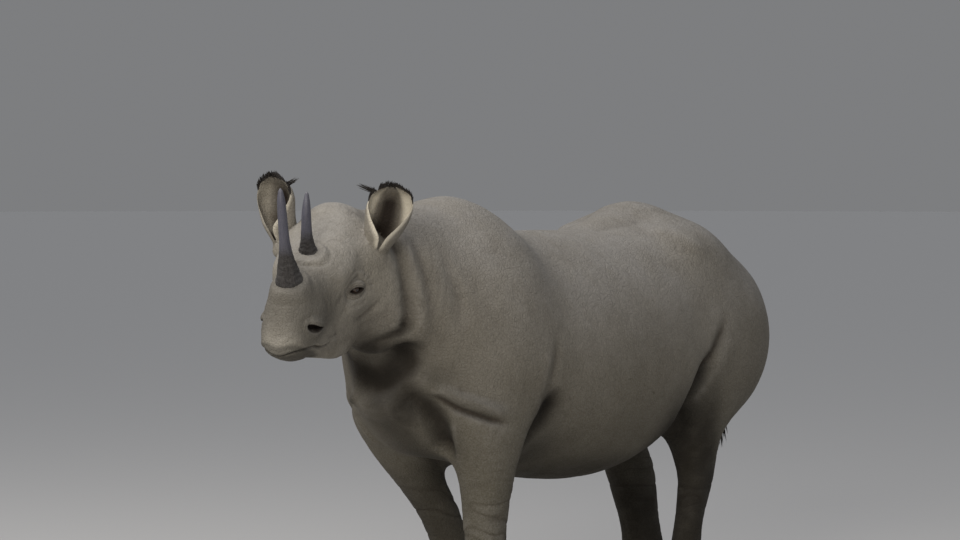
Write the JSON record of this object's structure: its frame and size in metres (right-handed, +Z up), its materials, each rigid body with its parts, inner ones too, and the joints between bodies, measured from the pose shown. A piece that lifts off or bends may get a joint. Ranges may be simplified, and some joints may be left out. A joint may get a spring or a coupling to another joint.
{
  "type": "black rhinoceros",
  "caption": "Life-size still model of an adult black rhinoceros, standing with its head raised and turned a little to its left.",
  "frame": {"origin": "on the floor, under the middle of the animal's box", "axes": "+Z up, +X toward the animal's left, the muzzle points to -Y and the tail to +Y"},
  "size_m": [0.9112, 2.9986, 1.6696],
  "materials": {
    "hide": "thick bare hide, dry and dusty, wrinkled",
    "horn": "horn, fibrous at the root and worn smooth toward the tip",
    "nail": "thick dull toenail, scratched",
    "eye": "wet dark eye, polished",
    "hair": "coarse black hair of the ear rims and the tail"
  },
  "bodies": {
    "root": {"head": "hide", "neck": "hide", "torso": "hide", "tail": "hide", "horn_front": "horn", "horn_rear": "horn", "ear_left": "hide", "ear_right": "hide", "eye_left": "eye", "eye_right": "eye", "leg_front_left": "hide", "leg_front_right": "hide", "leg_hind_left": "hide", "leg_hind_right": "hide", "toenail_front_left_1": "nail", "toenail_front_left_2": "nail", "toenail_front_left_3": "nail", "toenail_front_right_1": "nail", "toenail_front_right_2": "nail", "toenail_front_right_3": "nail", "toenail_hind_left_1": "nail", "toenail_hind_left_2": "nail", "toenail_hind_left_3": "nail", "toenail_hind_right_1": "nail", "toenail_hind_right_2": "nail", "toenail_hind_right_3": "nail"}
  },
  "joints": []
}
